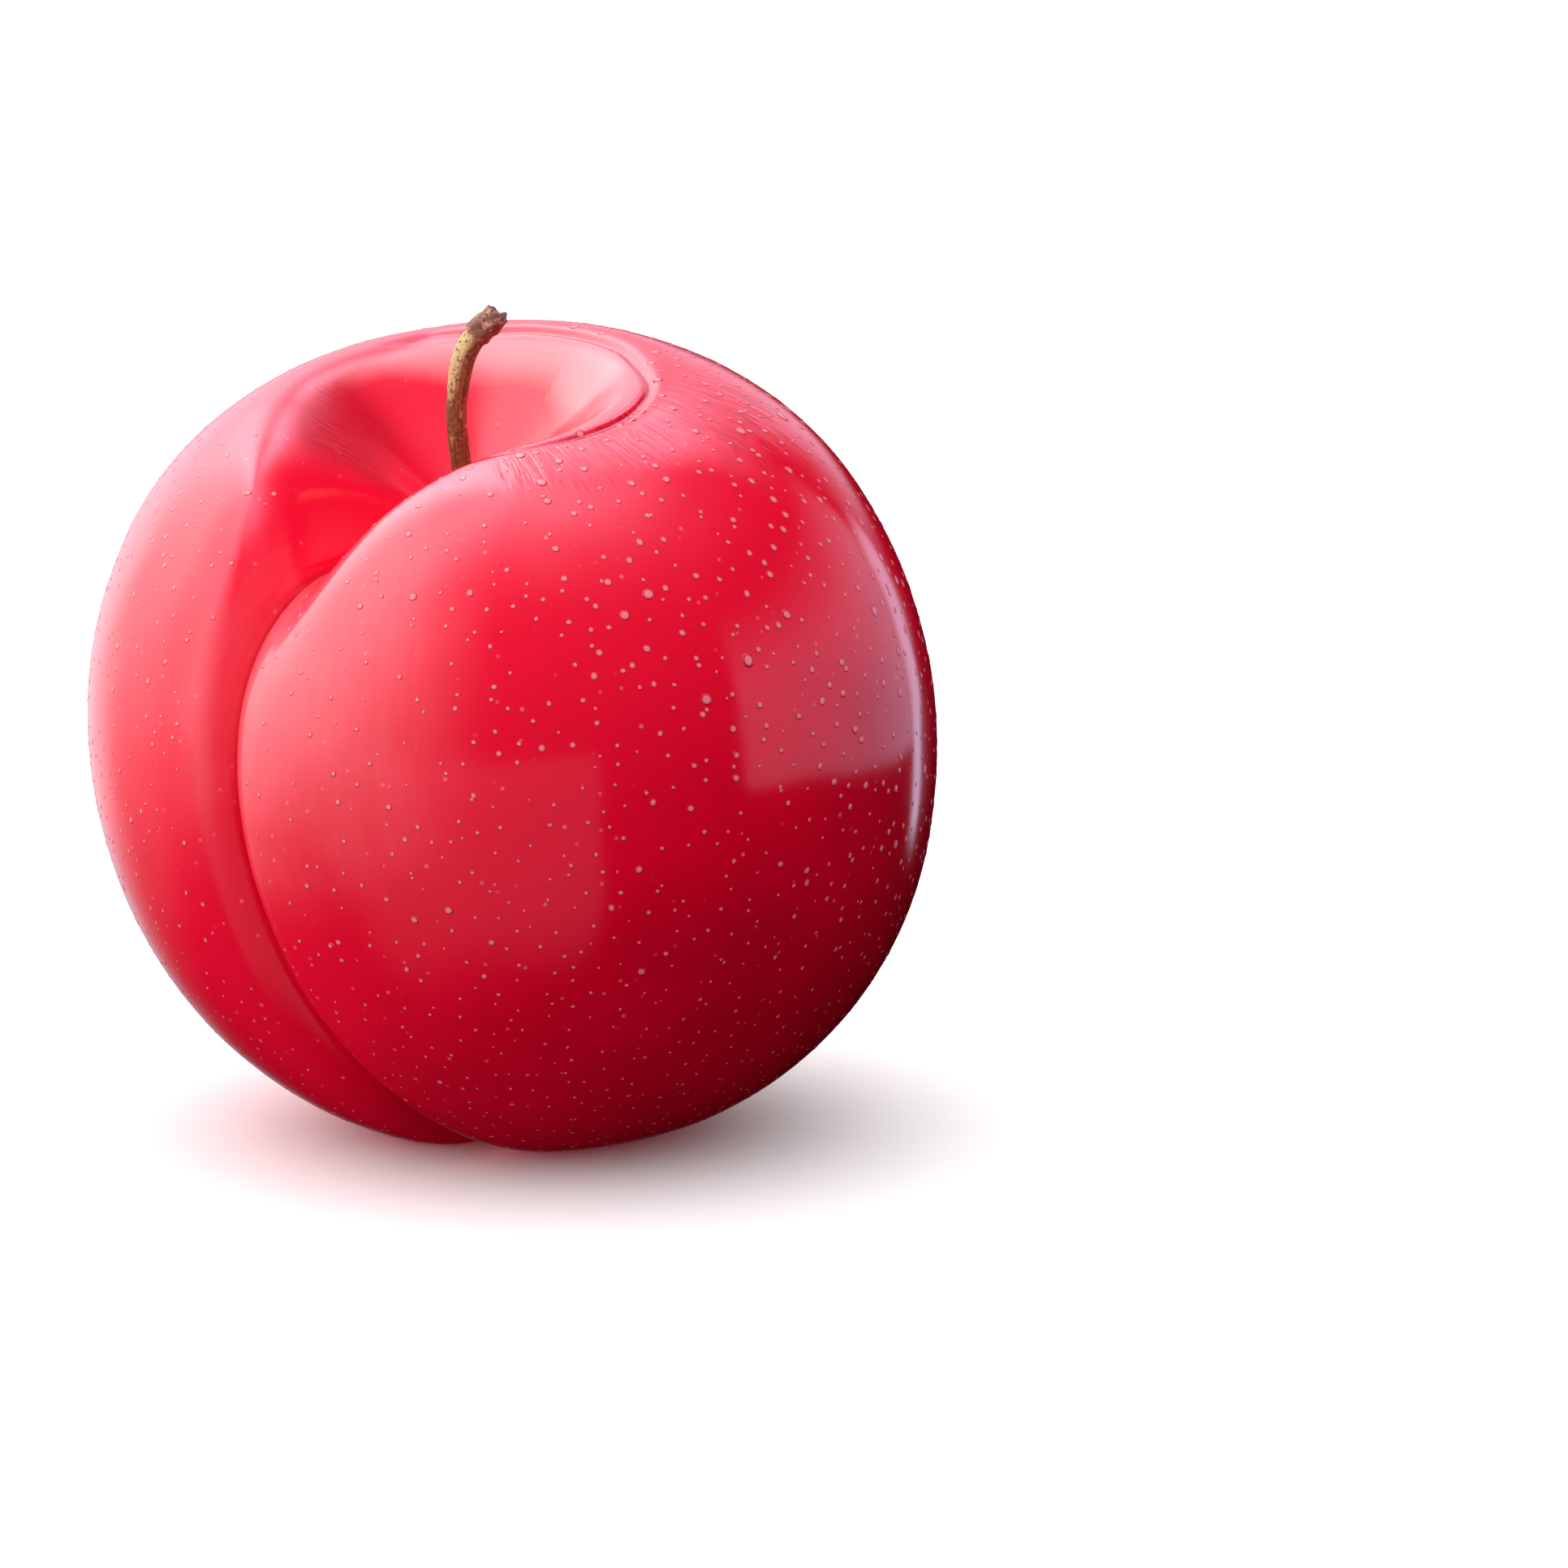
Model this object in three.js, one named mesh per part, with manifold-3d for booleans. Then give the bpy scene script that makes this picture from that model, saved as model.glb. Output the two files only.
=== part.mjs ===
// A whole ripe plum: a round two-lobed fruit with a deep cleft (the suture), a bowl-shaped
// stem cavity and a short bent woody stem. Millimetres, +Z up, -Y is the side it is looked at from.
// The fruit stands at z = 0 on a small flat spot under each lobe, and its stem leans forward.

import * as THREE from 'three';
import { ParametricGeometry } from 'three/addons/geometries/ParametricGeometry.js';
import { mergeVertices } from 'three/addons/utils/BufferGeometryUtils.js';
import Module from 'manifold-3d';

const wasm = await Module();
wasm.setup();

const degree = Math.PI / 180;

// Fruit body before the cleft and the hollows are pressed in
const bodyRadius = 28.5;          // centre to flank, square to the stem axis
const bodyHalfHeight = 27.7;      // centre to either end, along the stem axis
const shoulderFullness = 0.12;    // share by which the shoulders stand out of an ellipsoid
const endShift = 1.0;             // both ends sit this much nearer the blossom end
const endShiftFullness = 0.2;     // share by which that shift grows at the shoulders
const cleftSideFlattening = 0.09; // share of radius taken from the cleft side, added at the back
const rightLobeSwell = 0.035;     // share of radius added on the right lobe
const lobePinch = 0.012;          // share of radius taken along the cleft, added across it
const bellyForward = 2.75;        // the belly bulges towards the cleft
const blossomEndDrift = 2.5;      // the blossom end drifts towards the right lobe

// Stem cavity: a wide bowl with a narrow funnel at its floor
const bowlDepth = 6.6;
const bowlRadius = 10.0;
const bowlSteepness = 4.0;
const funnelDepth = 4.8;
const funnelRadius = 5.0;

// On the cleft side the bowl runs out into a trough with two straight walls that meet in the cleft.
const troughMiddle = 7 * degree;    // azimuth of its tip, a little onto the right lobe
const troughOpening = 60 * degree;  // from its tip round to where a wall meets the bowl's round rim
const troughTipRounding = 6 * degree;
const troughRightOpening = 1.1;     // the right wall meets the rim this much sooner
const troughExtraDepth = 0.1;       // share of the bowl's depth, at the tip
const troughPinch = 0.1;            // share by which the walls stand closer than the bowl's rim

// Blossom end: a shallow dimple
const dimpleDepth = 1.5;
const dimpleRadius = 6.0;

// Cleft: two rounded lips that meet in a crease, in a valley that is deep at the shoulder
const creaseDepth = 2.4;
const creaseDepthAtTip = 2.0;
const lipWidth = 2.6;
const leftLipWidth = 3.4;
const valleyDepthAtShoulder = 2.0;
const valleyDepthAtBelly = 0.9;
const valleyDepthAtTip = 0.6;
const leftValleyWidth = 4.0;
const rightValleyWidth = 3.5;
const creaseStart = 3.5;          // distance from either end over which the crease grows
const creaseBackLimit = 162 * degree; // azimuth the crease never reaches, so the back stays smooth
const valleyRounding = 7;         // within this distance of an end the valley narrows no further
const shoulderSide = 0.45;        // cosines of the polar angles between which belly sizes hold
const tipSide = -0.5;
const blendSpan = 0.25;
const cleftTwist = 12 * degree;   // turn of the cleft from the stem end to the blossom end
const cleftHook = 25 * degree;    // further turn, close to the blossom end only
const shoulderBend = 3.5 * degree; // the cleft bends towards the right lobe as it crosses the shoulder
const shoulderLatitude = 0.72;    // cosine of the polar angle where that bend is largest
const shoulderBendSpan = 0.22;

// How the fruit stands
const cleftTurn = 45 * degree;    // the cleft faces front left, between -Y and -X
const leanForward = 12.5 * degree;
const leanLeft = 4.4 * degree;
const bodyCentre = new THREE.Vector3(0.5, 1.5, 27.5);

// Stem: centre line from its foot in the funnel to its cut end, and its radius on the way
const stemLine = [
  new THREE.Vector3(-0.62, -1.88, 42.85),
  new THREE.Vector3(-1.45, -2.95, 46.4),
  new THREE.Vector3(-1.45, -4.05, 51.2),
  new THREE.Vector3(-0.7, -4.58, 53.85),
  new THREE.Vector3(1.45, -4.85, 56.35),
];
const footRadius = 1.1;
const stemRadius = 0.68;
const neckRadius = 0.82;          // where the stem widens under its cap
const capRadius = 1.02;
const capLength = 2.2;
const cutRadius = 0.8;
const cutSlant = 0.35;            // rise of the cut end across the stem, per mm
const capRaggedness = 0.07;

// Facets
const fruitColumns = 84;
const fruitRows = 60;
const columnCrowding = 0.8;       // columns crowd towards the crease by this much at the belly
const stemSides = 20;

// Height of a rounded lip: 1 in the crease, 0 at the lip's outer edge and beyond.
function lipProfile(distance, width) {
  const t = Math.min(Math.abs(distance) / width, 1);
  return 1 - Math.sqrt(1 - (1 - t) ** 2);
}

// Blends a size from the shoulder through the belly to the blossom end, by latitude.
function alongFruit(latitude, atShoulder, atBelly, atTip) {
  const shoulder = 0.5 * (1 + Math.tanh((latitude - shoulderSide) / blendSpan));
  const tip = 0.5 * (1 + Math.tanh((tipSide - latitude) / blendSpan));
  return atBelly + (atShoulder - atBelly) * shoulder + (atTip - atBelly) * tip;
}

// Opening of the trough that is left at an azimuth: all of it at its tip, none beyond its walls.
function troughLeft(azimuth) {
  const aside = azimuth - troughMiddle;
  const away = Math.hypot(aside, troughTipRounding) - troughTipRounding;
  return Math.max(troughOpening - away * (aside < 0 ? 1 : troughRightOpening), 0);
}

// A point of the skin. Azimuth 0 is the crease, positive azimuths are the right lobe;
// the polar angle runs from 0 in the stem cavity to pi at the blossom end.
function skinPoint(azimuth, polar, target) {
  const s = Math.sin(polar);
  const c = Math.cos(polar);

  const section = 1 - cleftSideFlattening * Math.cos(azimuth)
    + rightLobeSwell * Math.sin(azimuth) - lobePinch * Math.cos(2 * azimuth);
  const radius = bodyRadius * s * section;
  let height = bodyHalfHeight * c * (1 + shoulderFullness * s * s)
    - endShift * c * c * (1 + endShiftFullness * s * s);
  const grown = 1 - Math.exp(-((radius / creaseStart) ** 2));
  if (c > 0) {
    const opening = troughLeft(azimuth);
    const inTrough = grown * (opening / troughOpening) ** 2;
    const reach = radius * Math.cos(opening) * (1 + troughPinch * inTrough);
    const depth = bowlDepth * (1 + troughExtraDepth * inTrough);
    height -= depth * Math.exp(-((reach / bowlRadius) ** bowlSteepness));
    height -= funnelDepth * Math.exp(-((radius / funnelRadius) ** 2));
  } else {
    height += dimpleDepth * Math.exp(-((radius / dimpleRadius) ** 2));
  }

  const onLeft = azimuth < 0;
  const atBack = THREE.MathUtils.clamp((creaseBackLimit - Math.abs(azimuth)) / 0.5, 0, 1);
  const lip = lipProfile(radius * azimuth, onLeft ? leftLipWidth : lipWidth);
  const across = azimuth * Math.hypot(radius, valleyRounding);
  const valley = Math.exp(-((across / (onLeft ? leftValleyWidth : rightValleyWidth)) ** 2));
  const crease = alongFruit(c, creaseDepth, creaseDepth, creaseDepthAtTip);
  const dip = alongFruit(c, valleyDepthAtShoulder, valleyDepthAtBelly, valleyDepthAtTip);
  const inward = grown * atBack * (crease * lip + dip * valley);

  const down = (1 - c) / 2;
  const turned = azimuth + cleftTwist * down + cleftHook * down ** 4
    + shoulderBend * Math.exp(-(((c - shoulderLatitude) / shoulderBendSpan) ** 2));
  target.set(
    (radius - inward * s) * Math.cos(turned) + bellyForward * s * s,
    (radius - inward * s) * Math.sin(turned) + blossomEndDrift * down,
    height - inward * c,
  );
}

// Columns crowd towards the crease, and are even at both ends.
function skinSurface(u, v, target) {
  const polar = Math.PI * v;
  const even = Math.PI * (1 - 2 * u);
  const azimuth = even - columnCrowding * Math.sin(polar) * Math.sin(even);
  skinPoint(azimuth, polar, target);
}

// Joins the seam and the ends of a surface, and drops the triangles that close up there.
function closeSurface(geometry) {
  geometry.deleteAttribute('normal');
  geometry.deleteAttribute('uv');
  const merged = mergeVertices(geometry, 1e-4);
  const index = merged.getIndex().array;
  const kept = [];
  for (let i = 0; i < index.length; i += 3) {
    const [a, b, c] = [index[i], index[i + 1], index[i + 2]];
    if (a !== b && b !== c && c !== a) kept.push(a, b, c);
  }
  merged.setIndex(kept);
  return merged;
}

function toSolid(geometry) {
  return new wasm.Manifold(new wasm.Mesh({
    numProp: 3,
    vertProperties: new Float32Array(geometry.getAttribute('position').array),
    triVerts: new Uint32Array(geometry.getIndex().array),
  }));
}

function toGeometry(solid) {
  const mesh = solid.getMesh();
  const geometry = new THREE.BufferGeometry();
  geometry.setAttribute('position', new THREE.BufferAttribute(mesh.vertProperties, 3));
  geometry.setIndex(new THREE.BufferAttribute(mesh.triVerts, 1));
  geometry.computeVertexNormals();
  return geometry;
}

// The fruit, turned the way it stands and trimmed flat at z = 0.
function makeFruit() {
  const skin = closeSurface(new ParametricGeometry(skinSurface, fruitColumns, fruitRows));
  const standing = new THREE.Euler(leanForward, -leanLeft, -Math.PI / 2 - cleftTurn, 'YXZ');
  skin.applyMatrix4(new THREE.Matrix4().makeRotationFromEuler(standing));
  skin.translate(bodyCentre.x, bodyCentre.y, bodyCentre.z);
  const below = new THREE.BoxGeometry(80, 80, 10);
  below.translate(0, 0, -5);
  return toGeometry(toSolid(skin).subtract(toSolid(closeSurface(below))));
}

// The stem: a turned profile, from the foot's tip to the middle of the cut, bent along its line.
function makeStem() {
  const line = new THREE.CatmullRomCurve3(stemLine, false, 'centripetal');
  const length = line.getLength();
  const profile = [
    new THREE.Vector2(0, 0),
    new THREE.Vector2(0.6 * footRadius, 0.06),
    new THREE.Vector2(footRadius, 0.45),
    new THREE.Vector2(0.92 * footRadius, 0.95),
    new THREE.Vector2(1.12 * stemRadius, 1.8),
    new THREE.Vector2(1.03 * stemRadius, 3.2),
    new THREE.Vector2(stemRadius, 0.45 * length),
    new THREE.Vector2(0.5 * (stemRadius + neckRadius), 0.65 * length),
    new THREE.Vector2(neckRadius, length - capLength - 0.8),
    new THREE.Vector2(0.93 * capRadius, length - capLength),
    new THREE.Vector2(capRadius, length - capLength + 0.6),
    new THREE.Vector2(0.5 * (capRadius + cutRadius), length - 0.6),
    new THREE.Vector2(cutRadius, length - 0.1),
    new THREE.Vector2(0, length - 0.15),
  ];
  const stem = closeSurface(new THREE.LatheGeometry(profile, stemSides));
  const position = stem.getAttribute('position');
  const point = new THREE.Vector3();
  const tangent = new THREE.Vector3();
  const sideways = new THREE.Vector3();
  const forwards = new THREE.Vector3();
  for (let i = 0; i < position.count; i += 1) {
    const x = position.getX(i);
    const along = position.getY(i);
    const z = position.getZ(i);
    const nearCap = THREE.MathUtils.smoothstep(along, length - 2.6, length - 0.5);
    const angle = Math.atan2(z, x);
    const ragged = 1 + nearCap * capRaggedness * (Math.sin(3 * angle + 0.6) + 0.6 * Math.sin(5 * angle));
    const slanted = along + nearCap * cutSlant * x - nearCap * 0.3;
    const share = THREE.MathUtils.clamp(slanted / length, 0, 1);
    line.getPointAt(share, point);
    line.getTangentAt(share, tangent);
    sideways.set(1, 0, 0).addScaledVector(tangent, -tangent.x).normalize();
    forwards.crossVectors(tangent, sideways);
    point.addScaledVector(tangent, slanted - share * length);
    point.addScaledVector(sideways, x * ragged);
    point.addScaledVector(forwards, -z * ragged);
    position.setXYZ(i, point.x, point.y, point.z);
  }
  return toGeometry(toSolid(stem));
}

const plum = new THREE.Group();

const fruit = new THREE.Mesh(
  makeFruit(),
  new THREE.MeshStandardMaterial({ color: 0xd0122c, roughness: 0.3, metalness: 0 }),
);
fruit.name = 'fruit';
plum.add(fruit);

const stem = new THREE.Mesh(
  makeStem(),
  new THREE.MeshStandardMaterial({ color: 0x7d4322, roughness: 0.75, metalness: 0 }),
);
stem.name = 'stem';
plum.add(stem);

export default plum;
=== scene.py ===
# A whole ripe plum with its stem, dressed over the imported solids.
import math
import random

import bpy
from mathutils import Matrix, Vector, noise
from mathutils.bvhtree import BVHTree


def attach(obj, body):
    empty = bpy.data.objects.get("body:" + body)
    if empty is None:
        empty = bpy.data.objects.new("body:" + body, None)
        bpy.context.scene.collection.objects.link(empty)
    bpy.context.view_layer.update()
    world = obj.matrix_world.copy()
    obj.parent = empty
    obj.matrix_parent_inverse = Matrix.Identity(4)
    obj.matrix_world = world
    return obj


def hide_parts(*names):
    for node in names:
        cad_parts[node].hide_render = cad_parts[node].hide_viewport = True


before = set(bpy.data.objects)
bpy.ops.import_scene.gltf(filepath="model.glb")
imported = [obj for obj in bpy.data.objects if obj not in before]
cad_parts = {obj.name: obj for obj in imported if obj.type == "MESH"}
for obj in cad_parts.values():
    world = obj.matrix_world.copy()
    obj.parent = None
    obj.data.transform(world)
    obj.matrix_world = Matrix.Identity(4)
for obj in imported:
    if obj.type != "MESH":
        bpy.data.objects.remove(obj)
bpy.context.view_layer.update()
random.seed(7)
mm = 0.001
degree = math.radians(1)
print("solids loaded")


def deselectAll():
    if bpy.context.object and bpy.context.object.mode != "OBJECT":
        bpy.ops.object.mode_set(mode="OBJECT")
    bpy.ops.object.select_all(action="DESELECT")


def newMaterial(name):
    material = bpy.data.materials.new(name)
    material.use_nodes = True
    return material, material.node_tree


def addNode(tree, kind, values=None, **settings):
    made = tree.nodes.new(kind)
    for name, value in settings.items():
        setattr(made, name, value)
    for name, value in (values or {}).items():
        made.inputs[name].default_value = value
    return made


def calculate(tree, operation, first, second=None, third=None):
    made = addNode(tree, "ShaderNodeMath", operation=operation)
    for slot, value in zip(made.inputs, (first, second, third)):
        if isinstance(value, (int, float)):
            slot.default_value = value
        elif value is not None:
            tree.links.new(value, slot)
    return made.outputs[0]


def remap(tree, value, fromLow, fromHigh, toLow=0, toHigh=1, curve="SMOOTHSTEP"):
    limits = {"From Min": fromLow, "From Max": fromHigh, "To Min": toLow, "To Max": toHigh}
    made = addNode(tree, "ShaderNodeMapRange", limits, interpolation_type=curve)
    tree.links.new(value, made.inputs["Value"])
    return made.outputs["Result"]


def mixColours(tree, share, first, second):
    made = addNode(tree, "ShaderNodeMix", data_type="RGBA")
    for name, value in (("Factor", share), ("A", first), ("B", second)):
        slot = [s for s in made.inputs if s.name == name and s.enabled][0]
        if isinstance(value, bpy.types.NodeSocket):
            tree.links.new(value, slot)
        else:
            slot.default_value = value
    return [s for s in made.outputs if s.enabled][0]


def addNoise(tree, vector, scale, detail=2.0, roughness=0.5):
    made = addNode(tree, "ShaderNodeTexNoise", {"Scale": scale, "Detail": detail, "Roughness": roughness})
    tree.links.new(vector, made.inputs["Vector"])
    return made.outputs["Fac"]


def objectPlace(tree):
    return addNode(tree, "ShaderNodeTexCoord").outputs["Object"]


def readAttribute(tree, name, kind="Fac"):
    return addNode(tree, "ShaderNodeAttribute", attribute_name=name).outputs[kind]


def splitVector(tree, vector):
    made = addNode(tree, "ShaderNodeSeparateXYZ")
    tree.links.new(vector, made.inputs[0])
    return made.outputs


def stretchVector(tree, vector, stretch):
    made = addNode(tree, "ShaderNodeVectorMath", operation="MULTIPLY")
    made.inputs[1].default_value = stretch
    tree.links.new(vector, made.inputs[0])
    return made.outputs["Vector"]


def sway(tree, pattern, height, base):          # adds to the base a pattern that swings round nought
    return calculate(tree, "MULTIPLY_ADD", calculate(tree, "SUBTRACT", pattern, 0.5), height, base)


view = {
    "elevation": 11,                       # degrees above the horizon
    "distance": 420 * mm,
    "lens": 142.3,
    "sensor": 36,
    "nearest": 10 * mm,                    # nothing closer to the camera is drawn
    "aim": Vector((20.1, 0.7, 23.4)) * mm,
    "floorSize": 6.0,
    "floorColour": (0.97, 0.95, 0.965, 1),
    "floorRoughness": 0.8,
}

cameraData = bpy.data.cameras.new("camera")
cameraData.lens = view["lens"]
cameraData.sensor_width = view["sensor"]
cameraData.clip_start = view["nearest"]
camera = bpy.data.objects.new("camera", cameraData)
bpy.context.collection.objects.link(camera)
tilt = view["elevation"] * degree
camera.location = view["aim"] + view["distance"] * Vector((0, -math.cos(tilt), math.sin(tilt)))
camera.rotation_euler = (math.pi / 2 - tilt, 0, 0)
bpy.context.scene.camera = camera

deselectAll()
bpy.ops.mesh.primitive_plane_add(size=view["floorSize"], location=(0, 0, 0))
floor = bpy.context.object
floor.name = "floor"
floorPaint, floorTree = newMaterial("pale_floor")
floorShader = floorTree.nodes["Principled BSDF"]
floorShader.inputs["Base Color"].default_value = view["floorColour"]
floorShader.inputs["Roughness"].default_value = view["floorRoughness"]
floorShader.inputs["Specular IOR Level"].default_value = 0
floor.data.materials.append(floorPaint)
floor.visible_glossy = False               # the skin mirrors the studio, and takes its light from there
floor.visible_diffuse = False

# The studio is a soft dome. Azimuth 0 is the camera's side and grows to the right; all angles are degrees.
# What the skin mirrors: soft glows, given by their middle and reach, and panels, given by their edges.
glows = {
    "top": {"azimuth": 0, "elevation": 90, "reach": 21, "brightness": 3.6},
}
panels = {
    "left": {"sides": (-100, -54), "heights": (43, 58), "soft": (90, 50, 80, 43), "brightness": 3.9},
    "backLeft": {"sides": (-155, -153), "heights": (72, 74), "soft": (37, 58, 59, 31), "brightness": 5.1},
    "behindLeft": {"sides": (-157, -150), "heights": (-8, 63), "soft": (30, 24, 19, 14), "brightness": 0.9},
    "back": {"sides": (159, 161), "heights": (58, 60), "soft": (37, 27, 26, 24), "brightness": 3.5},
    "backLow": {"sides": (163, 165), "heights": (10, 53), "soft": (19, 41, 8, 4), "brightness": 0.9},
    "window": {"sides": (66, 138), "heights": (-8, 12), "soft": (1.5, 6, 1.5, 26), "brightness": 0.84},
    "rimStrip": {"sides": (143, 148), "heights": (-14, 8), "soft": (2, 2, 4, 8), "brightness": 1.6},
    "frontLow": {"sides": (-40, 22), "heights": (-34, 0), "soft": (20, 2, 30, 6), "brightness": 0.33},
}
# What lights it evenly: a wash that is strongest from the front, top and left.
wash = {
    "from": (-0.6, 0.1, 0.79),
    "middle": 0.98,
    "swing": 1.25,
    "backdrop": 1.0,
    "cool": (1.0, 0.97, 1.4, 1),           # the panels on the right are cooler
}

world = bpy.data.worlds.new("studio")
bpy.context.scene.world = world
world.use_nodes = True
sky = world.node_tree
skyDirection = addNode(sky, "ShaderNodeTexCoord").outputs["Generated"]


def towards(azimuth, elevation):
    turn = azimuth * degree
    rise = elevation * degree
    return (math.sin(turn) * math.cos(rise), -math.cos(turn) * math.cos(rise), math.sin(rise))


def facing(target):
    made = addNode(sky, "ShaderNodeVectorMath", operation="DOT_PRODUCT")
    sky.links.new(skyDirection, made.inputs[0])
    made.inputs[1].default_value = target
    return made.outputs["Value"]


def addGlow(total, glow):
    angle = calculate(sky, "ARCCOSINE", facing(towards(glow["azimuth"], glow["elevation"])))
    share = calculate(sky, "POWER", calculate(sky, "DIVIDE", angle, glow["reach"] * degree), 2)
    fading = calculate(sky, "EXPONENT", calculate(sky, "MULTIPLY", share, -1))
    return calculate(sky, "MULTIPLY_ADD", fading, glow["brightness"], total)


def addPanel(total, panel):
    left, right = panel["sides"]
    low, high = panel["heights"]
    leftSoft, rightSoft, lowSoft, highSoft = panel["soft"]
    middle = 0.5 * (left + right)
    half = 0.5 * (right - left)
    ahead = facing(towards(middle, 0))
    aside = facing(towards(middle + 90, 0))
    turn = calculate(sky, "ARCTAN2", aside, ahead)
    rise = calculate(sky, "ARCSINE", facing((0, 0, 1)))
    edges = (remap(sky, turn, (-half - leftSoft) * degree, -half * degree),
             remap(sky, turn, (half + rightSoft) * degree, half * degree),
             remap(sky, rise, (low - lowSoft) * degree, low * degree),
             remap(sky, rise, (high + highSoft) * degree, high * degree))
    shape = edges[0]
    for edge in edges[1:]:
        shape = calculate(sky, "MULTIPLY", shape, edge)
    return calculate(sky, "MULTIPLY_ADD", shape, panel["brightness"], total)


mirrored = 0.0
for glow in glows.values():
    mirrored = addGlow(mirrored, glow)
for panel in panels.values():
    mirrored = addPanel(mirrored, panel)
washed = facing(Vector(wash["from"]).normalized())
even = calculate(sky, "MAXIMUM", calculate(sky, "MULTIPLY_ADD", washed, wash["swing"], wash["middle"]), 0)
ray = addNode(sky, "ShaderNodeLightPath").outputs
toMirror = calculate(sky, "SUBTRACT", mirrored, even)
toCamera = calculate(sky, "SUBTRACT", wash["backdrop"], even)
brightness = calculate(sky, "MULTIPLY_ADD", ray["Is Glossy Ray"], toMirror, even)
brightness = calculate(sky, "MULTIPLY_ADD", ray["Is Camera Ray"], toCamera, brightness)
sky.links.new(brightness, sky.nodes["Background"].inputs["Strength"])
rightness = calculate(sky, "MULTIPLY", remap(sky, facing((1, 0, 0)), -1, 1), ray["Is Glossy Ray"])
tint = mixColours(sky, rightness, (1, 1, 1, 1), wash["cool"])
sky.links.new(tint, sky.nodes["Background"].inputs["Color"])
world.cycles.sampling_method = "NONE"
bpy.context.scene.view_settings.view_transform = "Standard"
print("camera, floor and light done")


fruitSizes = {                             # mm, shares and degrees, as the solid's
    "bodyRadius": 28.5,
    "bodyHalfHeight": 27.7,
    "shoulderFullness": 0.12,
    "endShift": 1.0,
    "endShiftFullness": 0.2,
    "cleftSideFlattening": 0.09,
    "rightLobeSwell": 0.035,
    "lobePinch": 0.012,
    "bellyForward": 2.75,
    "blossomEndDrift": 2.5,
    "bowlDepth": 6.6,
    "bowlRadius": 10.0,
    "bowlSteepness": 4.0,
    "funnelDepth": 4.8,
    "funnelRadius": 5.0,
    "troughMiddle": 7,
    "troughOpening": 60,
    "troughTipRounding": 6,
    "troughRightOpening": 1.1,
    "troughExtraDepth": 0.1,
    "troughPinch": 0.1,
    "dimpleDepth": 1.5,
    "dimpleRadius": 6.0,
    "creaseDepths": (2.4, 2.4, 2.0),       # at the shoulder, the belly and the tip
    "valleyDepths": (2.0, 0.9, 0.6),
    "lipWidth": 2.6,
    "leftLipWidth": 3.4,
    "valleyRounding": 7,
    "leftValleyWidth": 4.0,
    "rightValleyWidth": 3.5,
    "creaseStart": 3.5,
    "creaseBackLimit": 162,
    "creaseBackFade": 0.5,                 # radians
    "shoulderSide": 0.45,
    "tipSide": -0.5,
    "blendSpan": 0.25,
    "cleftTwist": 12,
    "cleftHook": 25,
    "shoulderBend": 3.5,
    "shoulderLatitude": 0.72,
    "shoulderBendSpan": 0.22,
    "cleftTurn": 45,
    "leanForward": 12.5,
    "leanLeft": 4.4,
    "bodyCentre": (0.5, 1.5, 27.5),
    "foldRadius": 12.1,                    # a fine fold runs round the bowl's rim, wider on the right
    "foldSwell": 1.7,
    "foldSwellTurn": 100,
    "foldSwellSpan": 30,
    "foldStart": 56,
    "foldEnd": 108,                        # counted back from the cleft, the other way round
    "foldFade": 14,
    "foldWaver": 0.35,
    "foldWaves": 3,
    "foldWidth": 0.36,
    "foldDepth": 0.3,
    "rimTurn": 0.9,                        # rows crowd round the bowl's rim, half of this angle from the stem
    "rimCrowding": 0.086,
    "columns": 300,
    "rows": 300,
    "columnCrowding": 0.8,                 # columns crowd at the cleft
    "unevenness": 0.09,                    # height of the soft dents in the skin
    "dentSpan": 9.0,
    "fineDents": 0.4,                      # height and span of the finer dents, as shares of those
    "fineDentSpan": 0.45,
    "dentFade": (8, 14),                   # there are none in the bowl
    "restSoftness": 0.16,                  # rounding round the flat resting spots
}


def ramp(value, low, high):
    t = min(max((value - low) / (high - low), 0), 1)
    return t * t * (3 - 2 * t)


def lipProfile(distance, width):
    t = min(abs(distance) / width, 1)
    return 1 - math.sqrt(1 - (1 - t) ** 2)


def alongFruit(latitude, atShoulder, atBelly, atTip):
    shoulder = 0.5 * (1 + math.tanh((latitude - fruitSizes["shoulderSide"]) / fruitSizes["blendSpan"]))
    tip = 0.5 * (1 + math.tanh((fruitSizes["tipSide"] - latitude) / fruitSizes["blendSpan"]))
    return atBelly + (atShoulder - atBelly) * shoulder + (atTip - atBelly) * tip


def troughLeft(azimuth):
    aside = azimuth / degree - fruitSizes["troughMiddle"]
    away = math.hypot(aside, fruitSizes["troughTipRounding"]) - fruitSizes["troughTipRounding"]
    if aside > 0:
        away *= fruitSizes["troughRightOpening"]
    return max(fruitSizes["troughOpening"] - away, 0) * degree


def fromFold(azimuth, radius):
    sizes = fruitSizes
    turn = (azimuth / degree) % 360
    swell = sizes["foldSwell"] * math.exp(-(((turn - sizes["foldSwellTurn"]) / sizes["foldSwellSpan"]) ** 2))
    outward = Vector((math.cos(azimuth), math.sin(azimuth), 0))
    waver = sizes["foldWaver"] * noise.noise(sizes["foldWaves"] * outward)
    start = ramp(turn, sizes["foldStart"], sizes["foldStart"] + sizes["foldFade"])
    end = ramp(360 - turn, sizes["foldEnd"], sizes["foldEnd"] + sizes["foldFade"])
    return radius - sizes["foldRadius"] - swell - waver, start * end


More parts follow.
